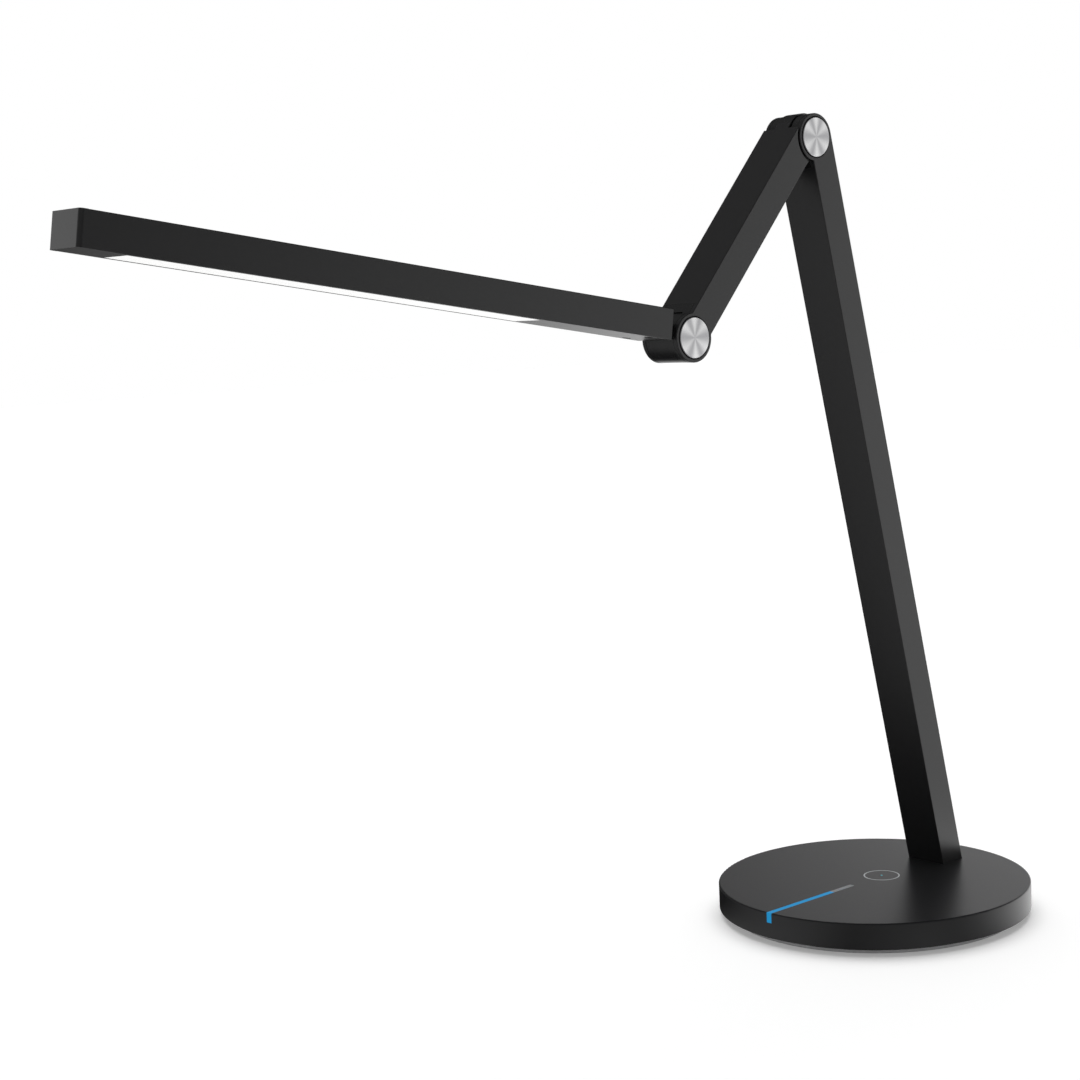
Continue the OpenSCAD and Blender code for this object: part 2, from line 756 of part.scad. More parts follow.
module head_tongue() color(black) in_head_frame() difference() {
    union() {
        rod_y(knuckle_r, -tongue_half, tongue_half);
        block([0, -tongue_half, inner_low + fit_gap], [head_start + past, tongue_half, neck_h]);
        head_core(fit_gap, head_start, head_start + plug_len);
    }
    bushing_bore();
    for (side = [0, 1]) mirror([0, side, 0])
        rod_y(washer_r + run_gap, tongue_half - washer_t, tongue_half + past);
    at_head_screws() {
        cylinder(r = head_hole_r + fit_gap, h = head_t + head_screw_head_h, $fn = 48);
        cylinder(r = screw_r + fit_gap,
            h = head_t + head_screw_head_h + screw_bite + screw_room, $fn = 32);
    }
    rod_x(wire_r + wire_room, bolt_r + bushing_t + bore_floor, head_start + plug_len + past);
}

module head_screws() color(steel) in_head_frame()
    at_head_screws() translate([0, 0, head_t]) difference() {
        union() {
            cylinder(r = head_hole_r - 2 * fit_gap, h = head_screw_head_h, $fn = 48);
            cylinder(r = screw_r, h = head_screw_head_h + screw_bite, $fn = 32);
        }
        cross_recess();
    }

// The wire runs straight from the hinge, then rises to the underside of the LED board
module head_wire() color("dimgray") in_head_frame() {
    risen_x = led_x0 - led_board_lead + past;
    risen_z = inner_high - led_board_t - wire_r - fit_gap;
    wire([[bolt_r + bushing_t + bore_floor + past, 0, 0], [risen_x - wire_rise, 0, 0],
        [risen_x, 0, risen_z], [risen_x + wire_tail, 0, risen_z]], wire_r);
}

module led_board() color("white") in_head_frame()
    block([led_x0 - led_board_lead, led_board_margin - inner_half, inner_high - led_board_t],
        [led_x1, inner_half - led_board_margin, inner_high]);

module led_chips() color([1, 0.95, 0.7]) in_head_frame()
    for (x = [led_x0 + led_pitch : led_pitch : led_x1 - led_pitch])
        block([x - led_l / 2, -led_w / 2, inner_high - led_board_t - led_h],
            [x + led_l / 2, led_w / 2, inner_high - led_board_t]);

// A white trough, narrow at the LEDs and wide at the diffuser
module reflector() color("white") in_head_frame()
    translate([led_x0, 0, 0]) rotate([90, 0, 90]) linear_extrude(led_x1 - led_x0)
        for (side = [-1, 1]) {
            low = diffuser_top + 2 * fit_gap;
            high = inner_high - led_board_t - fit_gap;
            polygon([[side * (inner_half - fit_gap), low],
                [side * (inner_half - fit_gap - reflector_t), low],
                [side * trough_half, high],
                [side * (trough_half + 3 * reflector_t), high]]);
        }

module diffuser() color([1, 1, 1]) in_head_frame() {
    block([window_x0 + fit_gap, -window_half + fit_gap, -head_drop],
        [window_x1 - fit_gap, window_half - fit_gap, diffuser_top]);
    block([window_x0 - lip, -inner_half + fit_gap, inner_low + fit_gap],
        [window_x1 + lip, inner_half - fit_gap, diffuser_top]);
}

// ---- Assembly ----

base_shell();
base_weight();
base_plate();
foot_pad();
base_screws();
touch_ring();
status_dot();
dimmer_guide();
control_board();
board_parts();
dc_jack();
post_foot();
post_foot_bolts();
post_beam();
post_fork();
post_wire();
in_post_frame() hinge_bolt(post_w / 2);  // upper_bolt
in_post_frame() hinge_nut(post_w / 2);  // upper_nut
in_post_frame() hinge_springs(post_w / 2);  // upper_disc_springs
in_post_frame() hinge_washers(slot_half);  // upper_friction_washers
in_arm_top_frame() hinge_bushing(tongue_half);  // upper_bushing
in_post_frame() hinge_cap(post_w / 2, 0);  // upper_cap_near
in_post_frame() hinge_cap(post_w / 2, 1);  // upper_cap_far
arm_beam();
arm_tongue();
arm_fork();
arm_wire();
in_arm_frame() hinge_bolt(arm_w / 2);  // lower_bolt
in_arm_frame() hinge_nut(arm_w / 2);  // lower_nut
in_arm_frame() hinge_springs(arm_w / 2);  // lower_disc_springs
in_arm_frame() hinge_washers(flush_slot_half);  // lower_friction_washers
in_head_frame() hinge_bushing(tongue_half - washer_t);  // lower_bushing
in_arm_frame() hinge_cap(arm_w / 2, 0);  // lower_cap_near
in_arm_frame() hinge_cap(arm_w / 2, 1);  // lower_cap_far
head_housing();
head_end_cap();
head_tongue();
head_screws();
head_wire();
led_board();
led_chips();
reflector();
diffuser();
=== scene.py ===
# Dresses the folding LED desk lamp: camera and studio first, then each piece with its finish,
# from the base up the post and arm to the light bar. Blender's unit is the metre.
import json
import math
import bmesh
import bpy
from mathutils import Matrix, Quaternion, Vector


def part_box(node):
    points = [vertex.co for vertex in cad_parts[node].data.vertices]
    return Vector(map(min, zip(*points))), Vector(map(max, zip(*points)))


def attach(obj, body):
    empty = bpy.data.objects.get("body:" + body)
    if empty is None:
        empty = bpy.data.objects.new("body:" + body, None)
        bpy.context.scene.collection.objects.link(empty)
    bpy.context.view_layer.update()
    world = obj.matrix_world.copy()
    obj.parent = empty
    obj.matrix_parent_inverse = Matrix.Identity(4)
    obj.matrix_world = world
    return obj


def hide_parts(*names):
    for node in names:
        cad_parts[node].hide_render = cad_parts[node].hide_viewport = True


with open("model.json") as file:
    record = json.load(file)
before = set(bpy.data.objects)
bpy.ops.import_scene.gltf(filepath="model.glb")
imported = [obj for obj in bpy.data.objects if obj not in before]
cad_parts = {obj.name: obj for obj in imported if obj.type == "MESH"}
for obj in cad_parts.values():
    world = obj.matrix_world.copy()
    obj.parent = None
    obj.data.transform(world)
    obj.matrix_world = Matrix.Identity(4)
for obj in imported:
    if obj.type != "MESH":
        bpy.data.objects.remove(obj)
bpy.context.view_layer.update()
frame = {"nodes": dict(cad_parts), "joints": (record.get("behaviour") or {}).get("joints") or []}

# ---- Camera -------------------------------------------------------------------------------
# A long lens just above the lower hinge's height, on the side of the light bar's free end,
# so that the bar comes towards the viewer on the left.
camera_place = Vector((0.9679, 0.8138, 0.3795))
camera_azimuth = math.radians(138.94)
camera_elevation = math.radians(6.39)
camera_roll = math.radians(-2.78)
lens_length = 69.2
film_width = 36.0
view_depth = 50.0

towards_viewer = Vector((
    math.sin(camera_azimuth) * math.cos(camera_elevation),
    -math.cos(camera_azimuth) * math.cos(camera_elevation),
    math.sin(camera_elevation)))
camera = bpy.data.objects.new("camera", bpy.data.cameras.new("camera"))
camera.data.lens = lens_length
camera.data.sensor_width = film_width
camera.data.clip_end = view_depth
camera.location = camera_place
camera.rotation_euler = (
    towards_viewer.to_track_quat("Z", "Y") @ Quaternion((0, 0, 1), camera_roll)).to_euler()
bpy.context.scene.collection.objects.link(camera)
bpy.context.scene.camera = camera
bpy.context.scene.view_settings.view_transform = "Standard"

# ---- Studio floor -------------------------------------------------------------------------
# A wide sheet of matt paper. To the camera it is white, with the lamp's soft shadow on it. Gloss
# and metal see a painted glow on it instead, in place of the studio's light: white behind the
# post, and dim in front.
mm = 0.001
paper_white = "#ececec"
paper_glow = 0.25
floor_reach = 9.0
floor_gap = 0.05 * mm
# How bright gloss sees the floor, by the angle from +X in degrees, close to the base and
# further out. The one passes into the other between two distances from the base's middle.
floor_by_the_base = {-180: 1.20, -130: 0.60, -100: 0.10, -56: 0.00, -40: 0.11, -29: 0.27,
                     -20: 0.40, -8: 0.55, 4: 0.55, 12: 0.50, 30: 0.18, 45: 0.36, 62: 0.50,
                     78: 0.37, 92: 0.60, 110: 1.38, 129: 1.88, 142: 2.05, 180: 1.20}
floor_further_out = {-180: 1.40, -140: 1.85, -132: 1.68, -122: 0.84, -112: 0.56, -96: 0.04,
                     -54: 0.03, -46: 0.18, -38: 0.62, -28: 0.56, -8: 0.26, 60: 0.26, 100: 0.24,
                     118: 0.82, 130: 1.00, 142: 1.02, 180: 1.10}
near_and_far = 0.14, 0.24


def linear(hex_colour):
    """An sRGB hex colour as the linear values that a shader takes."""
    parts = [int(hex_colour[i:i + 2], 16) / 255 for i in (1, 3, 5)]
    return tuple(p / 12.92 if p <= 0.04045 else ((p + 0.055) / 1.055) ** 2.4
                 for p in parts) + (1.0,)


def add_node(tree, kind, inputs=None, **settings):
    """Adds a shader node. An input is a plain value, or another node's output socket."""
    node = tree.nodes.new("ShaderNode" + kind)
    for name, value in settings.items():
        setattr(node, name, value)
    for name, value in (inputs or {}).items():
        if isinstance(value, bpy.types.NodeSocket):
            tree.links.new(value, node.inputs[name])
        else:
            node.inputs[name].default_value = value
    return node


def new_material(name, surface_of):
    """A material with the shader that surface_of(tree) returns."""
    material = bpy.data.materials.new(name)
    material.use_nodes = True
    tree = material.node_tree
    tree.nodes.clear()
    add_node(tree, "OutputMaterial", {"Surface": surface_of(tree).outputs[0]})
    return material


def new_piece(name, shape, material, smooth_below=35):
    """Makes a bmesh an object, shaded smooth across edges of less than smooth_below degrees."""
    mesh = bpy.data.meshes.new(name)
    shape.to_mesh(mesh)
    shape.free()
    mesh.materials.append(material)
    mesh.shade_smooth()
    mesh.set_sharp_from_angle(angle=math.radians(smooth_below))
    piece = bpy.data.objects.new(name, mesh)
    bpy.context.scene.collection.objects.link(piece)
    return piece


def brightness_round_the_lamp(tree, direction, levels):
    """Reads the level for a direction from levels, which is keyed by the angle from +X."""
    along = add_node(tree, "SeparateXYZ", {0: direction}).outputs
    angle = add_node(tree, "Math", {0: along["Y"], 1: along["X"]}, operation="ARCTAN2")
    ramp = add_node(tree, "ValToRGB", {"Fac": add_node(tree, "MapRange", {
        "Value": angle.outputs[0], "From Min": -math.pi, "From Max": math.pi}).outputs[0]})
    peak = max(levels.values())
    stops = ramp.color_ramp.elements
    for degrees in list(levels)[1:-1]:
        stops.new(degrees / 360 + 0.5)
    for stop, level in zip(stops, levels.values()):
        stop.color = (level / peak, level / peak, level / peak, 1)
    return add_node(tree, "Math", {0: ramp.outputs["Color"], 1: peak},
                    operation="MULTIPLY").outputs[0]


def matt_paper(tree):
    rays = add_node(tree, "LightPath").outputs
    paper = add_node(tree, "BsdfDiffuse", {"Color": linear(paper_white)})
    glow = add_node(tree, "Emission", {"Strength": add_node(
        tree, "Math", {0: rays["Is Camera Ray"], 1: paper_glow},
        operation="MULTIPLY").outputs[0]})
    to_camera = add_node(tree, "AddShader", {0: paper.outputs[0], 1: glow.outputs[0]})
    place = add_node(tree, "TexCoord").outputs["Object"]
    distance = add_node(tree, "VectorMath", {0: place}, operation="LENGTH")
    outwards = add_node(tree, "MapRange", {
        "Value": distance.outputs["Value"], "From Min": near_and_far[0],
        "From Max": near_and_far[1]}, interpolation_type="SMOOTHSTEP")
    # In gloss the paper is an emission at painted levels, not paper lit by the studio.
    in_gloss = add_node(tree, "Emission", {"Strength": add_node(tree, "Mix", {
        "Factor": outwards.outputs[0],
        "A": brightness_round_the_lamp(tree, place, floor_by_the_base),
        "B": brightness_round_the_lamp(tree, place, floor_further_out)},
        data_type="FLOAT").outputs[0]})
    return add_node(tree, "MixShader", {
        0: rays["Is Glossy Ray"], 1: to_camera.outputs[0], 2: in_gloss.outputs[0]})


sheet = bmesh.new()
bmesh.ops.create_grid(sheet, x_segments=1, y_segments=1, size=floor_reach,
                      matrix=Matrix.Translation((0, 0, -floor_gap)))
new_piece("floor", sheet, new_material("matt_paper", matt_paper))

# ---- Studio light -------------------------------------------------------------------------
# An even fill from all round and a broad silk overhead light the lamp. To the camera all
# round is white. Gloss and metal see a white backdrop behind the post, which darkens upwards
# and towards the viewer, and a softbox off the free end of the light bar.
room_fill = 0.36
# How bright gloss sees the studio round the lamp and overhead, by the angle from +X. The one
# passes into the other between two heights, each the sine of the angle above the level.
backdrop_levels = {-180: 2.60, -155: 2.60, -143: 2.15, -134: 0.62, -118: 0.20, -95: 0.45,
                   -50: 0.60, -20: 0.45, 0: 0.30, 60: 0.28, 100: 0.14, 118: 0.10, 134: 0.53,
                   141: 0.86, 155: 1.35, 180: 2.60}
ceiling_levels = {-180: 0.03, -136: 0.03, -118: 0.08, -100: 0.13, -80: 0.16, 0: 0.15,
                  100: 0.12, 136: 0.04, 180: 0.03}
backdrop_to_ceiling = 0.12, 0.37
silk_angle, silk_strength = 60, 2.0
silk_place, silk_aim = Vector((-0.4, -0.5, 2.2)), Vector((0.1, 0.0, 0.25))
softbox_size, softbox_power, softbox_spread = 0.8, 0.059, 36
softbox_place, softbox_aim = Vector((1.2, -1.3, 0.65)), Vector((0.52, 0.0, 0.42))

world = bpy.data.worlds.new("white_backdrop")
bpy.context.scene.world = world
world.cycles.sampling_method = "NONE"
world.use_nodes = True
tree = world.node_tree
tree.nodes.clear()
rays = add_node(tree, "LightPath").outputs
direction = add_node(tree, "TexCoord").outputs["Generated"]
upwards = add_node(tree, "MapRange", {
    "Value": add_node(tree, "SeparateXYZ", {0: direction}).outputs["Z"],
    "From Min": backdrop_to_ceiling[0], "From Max": backdrop_to_ceiling[1]},
    interpolation_type="SMOOTHSTEP")
in_gloss = add_node(tree, "Mix", {
    "Factor": upwards.outputs[0],
    "A": brightness_round_the_lamp(tree, direction, backdrop_levels),
    "B": brightness_round_the_lamp(tree, direction, ceiling_levels)}, data_type="FLOAT")
fill_or_gloss = add_node(tree, "Mix", {
    "Factor": rays["Is Glossy Ray"], "A": room_fill, "B": in_gloss.outputs[0]},
    data_type="FLOAT")
seen_white = add_node(tree, "Math", {0: rays["Is Camera Ray"], 1: rays["Is Transmission Ray"]},
                      operation="MAXIMUM")
level = add_node(tree, "Mix", {"Factor": seen_white.outputs[0],
                               "A": fill_or_gloss.outputs[0], "B": 1.0}, data_type="FLOAT")
add_node(tree, "OutputWorld", {"Surface": add_node(
    tree, "Background", {"Strength": level.outputs[0], "Color": linear("#ffffff")}).outputs[0]})


def stand_light(name, light, place, aim):
    """Puts a light at place, facing aim."""
    lamp = bpy.data.objects.new(name, light)
    lamp.location = place
    lamp.rotation_euler = (place - aim).to_track_quat("Z", "Y").to_euler()
    bpy.context.scene.collection.objects.link(lamp)
    return lamp


silk = bpy.data.lights.new("overhead_silk", "SUN")
silk.angle = math.radians(silk_angle)
silk.energy = silk_strength
stand_light("overhead_silk", silk, silk_place, silk_aim).visible_glossy = False
softbox = bpy.data.lights.new("softbox", "AREA")
softbox.shape = "SQUARE"
softbox.size = softbox_size
softbox.energy = softbox_power
softbox.spread = math.radians(softbox_spread)
stand_light("softbox", softbox, softbox_place, softbox_aim)

# ---- Base cover ---------------------------------------------------------------------------
# The round cover, moulded in black ABS in a spark-eroded tool. Four screws from below hold it
# on the bottom plate.
nodes = frame["nodes"]
cover_black = "#18181a"
cover_grain = 0.35 * mm
cover_texture = 0.005 * mm
cover_roughness = 0.38, 0.42
cover_ior = 1.54
noise_low, noise_high = 0.3, 0.7


def grained_surface(tree, colour, grain, roughness, depth=0.0, others=None):
    """A shader whose roughness wavers between two values with a fine grain, fixed to the
    piece, that is pressed into the surface if it has a depth. Grain and depth in metres."""
    pattern = add_node(tree, "TexNoise", {
        "Vector": add_node(tree, "TexCoord").outputs["Object"],
        "Scale": 1 / grain}).outputs["Fac"]
    wavering = add_node(tree, "MapRange", {
        "Value": pattern, "From Min": noise_low, "From Max": noise_high,
        "To Min": roughness[0], "To Max": roughness[1]})
    inputs = {"Base Color": linear(colour), "Roughness": wavering.outputs["Result"]}
    if depth:
        inputs["Normal"] = add_node(tree, "Bump", {
            "Height": pattern, "Distance": depth, "Strength": 1.0}).outputs["Normal"]
    return add_node(tree, "BsdfPrincipled", {**inputs, **(others or {})})


def finish_nodes(material, *names):
    """Gives CAD nodes a material."""
    for name in names:
        nodes[name].data.materials.clear()
        nodes[name].data.materials.append(material)


def satin_abs(tree):
    # The fine satin grain of the tool spreads every reflection into a soft, even sheen.
    return grained_surface(tree, cover_black, cover_grain, cover_roughness, cover_texture,
                           {"IOR": cover_ior})


finish_nodes(new_material("satin_black_abs", satin_abs), "base_shell")

# ---- Bottom plate, foot and ballast -------------------------------------------------------
# A black ABS plate closes the base over a cast-iron ballast disc; four M3 screws join it to
# the cover, hidden by the silicone foot that is bonded over them.
plate_black = "#1a1a1b"
iron_grey = "#4a4846"
foot_grey = "#ececed"
zinc_grey = "#a9abad"


def plain_abs(tree):
    # A tool left as it was milled: duller than the cover, and slightly uneven.
    return grained_surface(tree, plate_black, grain=0.6 * mm, roughness=(0.46, 0.54),
                           depth=0.01 * mm)


def cast_iron(tree):
    # Sand casting leaves a coarse skin that glints here and there.
    return grained_surface(tree, iron_grey, grain=1.2 * mm, roughness=(0.5, 0.75),
                           depth=0.08 * mm, others={"Metallic": 1.0})


def silicone(tree):
    # Pale, matt and slightly powdery, with hardly a highlight.
    return grained_surface(tree, foot_grey, grain=0.5 * mm, roughness=(0.66, 0.74),
                           depth=0.01 * mm, others={"Specular IOR Level": 0.35})


def zinc_plate(tree):
    # Thin plating with a cloudy, half-bright sheen.
    return grained_surface(tree, zinc_grey, grain=1 * mm, roughness=(0.3, 0.42),
                           others={"Metallic": 1.0})


zinc_plated_steel = new_material("zinc_plated_steel", zinc_plate)
finish_nodes(new_material("moulded_black_abs", plain_abs), "base_plate")
finish_nodes(new_material("cast_iron", cast_iron), "base_weight")
finish_nodes(zinc_plated_steel, "base_screws")
finish_nodes(new_material("grey_silicone", silicone), "foot_pad")

# ---- Touch ring and indicator -------------------------------------------------------------
# A pale inlay pressed into a groove in the cover marks the touch point, and a small clear
# rod in its centre carries the light of an indicator LED.
inlay_grey = "#c6cacc"
indicator_teal = "#2f9aa6"
indicator_glow = 0.5


def inlay(tree):
    # Filled paint with a little metal in it: pale, with a weak sheen.
    return grained_surface(tree, inlay_grey, grain=0.8 * mm, roughness=(0.35, 0.45),
                           others={"Metallic": 0.3})


def lit_indicator(tree):
    # Clear acrylic with a polished end, which the LED below turns a dim teal.
    return grained_surface(tree, indicator_teal, grain=0.2 * mm, roughness=(0.18, 0.24), others={
        "Emission Color": linear(indicator_teal), "Emission Strength": indicator_glow})


finish_nodes(new_material("satin_grey_inlay", inlay), "touch_ring")
finish_nodes(new_material("lit_teal_acrylic", lit_indicator), "status_dot")

# ---- Dimmer guide -------------------------------------------------------------------------
# A frosted acrylic light guide, flush in the cover's slot, that bends over the rim. LEDs
# under it light it blue up to the set level; the rest of the track stays grey.
guide_blue = "#1c8ac0"
guide_body_blue = "#0d3350"
guide_grey = "#7c7f82"
guide_glow = 0.88
guide_grain = 0.5 * mm
guide_texture = 0.002 * mm
lit_from = 38.5 * mm
board_clearance = 0.5 * mm
facing = 0.9


def lit_guide(tree):
    # The LEDs fill the frosted acrylic, so it glows an even blue and hardly reflects.
    return grained_surface(tree, guide_body_blue, guide_grain, (0.46, 0.54), guide_texture, {
        "Specular IOR Level": 0.1, "Emission Color": linear(guide_blue),
        "Emission Strength": guide_glow})


def unlit_guide(tree):
    # Unlit, the frosting is a milky grey that light enters a little.
    return grained_surface(tree, guide_grey, guide_grain, (0.38, 0.46), guide_texture, {
        "Subsurface Weight": 0.3, "Subsurface Scale": 1 * mm})


def new_block(low, high):
    """A bmesh box between two corners."""
    block = bmesh.new()
    bmesh.ops.create_cube(block, size=1.0, matrix=(
        Matrix.Translation((low + high) / 2) @ Matrix.Diagonal((*(high - low), 1.0))))
    return block


guide_low, guide_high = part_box("dimmer_guide")
cover_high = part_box("base_shell")[1]
board_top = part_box("control_board")[1].z
guide_half = guide_high.y
wall_inside = cover_high.x - (cover_high.z - board_top)
track_bottom = board_top + board_clearance
unlit = new_block(Vector((guide_low.x, -guide_half, track_bottom)),
                  Vector((lit_from, guide_half, guide_high.z)))
unlit_track = new_piece("dimmer_guide_unlit", unlit,
                        new_material("frosted_grey_acrylic", unlit_guide))
lit = new_block(Vector((lit_from, -guide_half, track_bottom)),
                Vector((guide_high.x, guide_half, guide_high.z)))
bmesh.ops.bisect_plane(lit, geom=lit.verts[:] + lit.edges[:] + lit.faces[:],
                       plane_co=(wall_inside, 0, 0), plane_no=(1, 0, 0))
under_the_rim = [face for face in lit.faces
                 if face.normal.z < -facing and face.calc_center_median().x > wall_inside]
drop = bmesh.ops.extrude_discrete_faces(lit, faces=under_the_rim)["faces"]
bmesh.ops.translate(lit, verts=list({vert for face in drop for vert in face.verts}),
                    vec=(0, 0, guide_low.z - track_bottom))
lit_track = new_piece("dimmer_guide_lit", lit, new_material("lit_blue_acrylic", lit_guide))
for track in (unlit_track, lit_track):
    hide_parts("dimmer_guide")
    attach(track, "stand")

# ---- Control board ------------------------------------------------------------------------
# The glass-fibre board under the cover, with its green solder mask and copper tracks, and the
# LEDs and chips that are soldered to it.
mask_green = "#0c4a2c"
copper_green = "#146b3f"
chip_black = "#1c1c1e"
trace_pitch = 1.6 * mm


def solder_mask(tree):
    # Glossy lacquer, lighter where it runs over the copper.
    traces = add_node(tree, "TexBrick", {
        "Vector": add_node(tree, "TexCoord").outputs["Object"],
        "Color1": linear(mask_green), "Color2": linear(mask_green),
        "Mortar": linear(copper_green), "Scale": 1 / trace_pitch, "Mortar Size": 0.12})
    return add_node(tree, "BsdfPrincipled", {
        "Base Color": traces.outputs["Color"], "Roughness": 0.3})


def chip_resin(tree):
    # Filled epoxy from a mould: a dull, faintly speckled black.
    return grained_surface(tree, chip_black, grain=0.3 * mm, roughness=(0.45, 0.6))


finish_nodes(new_material("green_solder_mask", solder_mask), "control_board")
finish_nodes(new_material("chip_resin", chip_resin), "board_parts")

# ---- Power inlet --------------------------------------------------------------------------
# The barrel inlet at the back of the base, in black nylon. It is soldered to the board, and
# its nose fills the hole in the cover's wall.
nylon_black = "#101011"


def glossy_nylon(tree):
    # A polished mould gives a sharp highlight, a little clouded by the glass in the nylon.
    return grained_surface(tree, nylon_black, grain=2 * mm, roughness=(0.18, 0.26))


finish_nodes(new_material("glossy_black_nylon", glossy_nylon), "dc_jack")

# ---- Post and arm -------------------------------------------------------------------------
# Two extruded aluminium tubes with their hinge ends milled round, blasted and anodised
# black. The grain of the blasting is drawn coarser than the real 0.1 mm.
anodised_black = "#1b1b1c"
blast_grain = 0.3 * mm
blast_depth = 0.004 * mm
blast_roughness = 0.30, 0.34
sealed_oxide_ior = 1.58


def satin_anodised(tree):
    # The dyed and sealed oxide shows a broad satin reflection over a deep black.
    return grained_surface(tree, anodised_black, blast_grain, blast_roughness, blast_depth,
                           {"IOR": sealed_oxide_ior})


satin_black_anodised = new_material("satin_black_anodised", satin_anodised)
finish_nodes(satin_black_anodised, "post_beam", "arm_beam")

# ---- Post foot ----------------------------------------------------------------------------
# A steel block milled to fit inside the post's lower end. Two zinc-plated M5 bolts from under
# the ballast clamp it.
block_grey = "#77797c"


def milled_steel(tree):
    # Bare steel with the uneven shine of a cutter's passes.
    return grained_surface(tree, block_grey, grain=1.5 * mm, roughness=(0.3, 0.5),
                           others={"Metallic": 1.0})


finish_nodes(new_material("milled_steel", milled_steel), "post_foot")
finish_nodes(zinc_plated_steel, "post_foot_bolts")

# ---- Hinge castings -----------------------------------------------------------------------
# The forks and tongues that turn in one another: zinc castings, coated satin black to match
# the tubes, and pressed and glued into their ends.
casting_black = "#151516"
coat_roughness = 0.20, 0.24


def satin_coat(tree):
    # The coat fills the casting's skin, so it shines tighter than the blasted tubes.
    return grained_surface(tree, casting_black, blast_grain, coat_roughness, blast_depth,
                           {"IOR": sealed_oxide_ior})


finish_nodes(new_material("satin_black_coat", satin_coat),
             "post_fork", "arm_tongue", "arm_fork", "head_tongue")

# ---- Hinge bolts, springs and washers -----------------------------------------------------
# Each hinge is clamped by an M6 bolt and nut over two disc springs. Sintered bronze washers
# and a bushing turn between the casting faces and give the friction.
spring_grey = "#8a8c90"
bronze_brown = "#a8743c"


def spring_steel(tree):
    # Tumbled after stamping: a smooth grey shine.
    return grained_surface(tree, spring_grey, grain=0.7 * mm, roughness=(0.25, 0.38),
                           others={"Metallic": 1.0})


def sintered_bronze(tree):
    # Pressed powder, still porous, so the brown metal looks dry.
    return grained_surface(tree, bronze_brown, grain=0.4 * mm, roughness=(0.45, 0.65),
                           depth=0.01 * mm, others={"Metallic": 1.0})


finish_nodes(zinc_plated_steel, "upper_bolt", "upper_nut", "lower_bolt", "lower_nut")
finish_nodes(new_material("spring_steel", spring_steel),
             "upper_disc_springs", "lower_disc_springs")
finish_nodes(new_material("sintered_bronze", sintered_bronze), "upper_friction_washers",
             "lower_friction_washers", "upper_bushing", "lower_bushing")

# ---- Hinge discs --------------------------------------------------------------------------
# A turned aluminium disc snaps over each end of the hinge bolts. Its face carries six rays of
# painted reflection that fade towards the middle, and its rim has a bright diamond-cut bevel.
hinges = {joint["name"]: Vector(joint["pos_m"]) for joint in frame["joints"]}
# The light and dark colours of the painted reflection that the rays are drawn in.
painted_ray_highlight = "#ffffff"
painted_ray_shade = "#bfbfc1"
rays_round = 6
side_rays = 0.86
upright_rays_narrow = 8
rays_gathered = 0.06
rays_gathered_upwards = 0.13
contrast_in_the_middle = 0.4
turning_marks = 0.3 * mm
turning_depth = 0.002 * mm
disc_roughness = 0.18, 0.23
disc_bevel = 0.3 * mm
disc_steps = 128
disc_smooth_below = 20
bevel_bright = "#e6e6e8"
bevel_roughness = 0.34, 0.40
merge_distance = 0.001 * mm


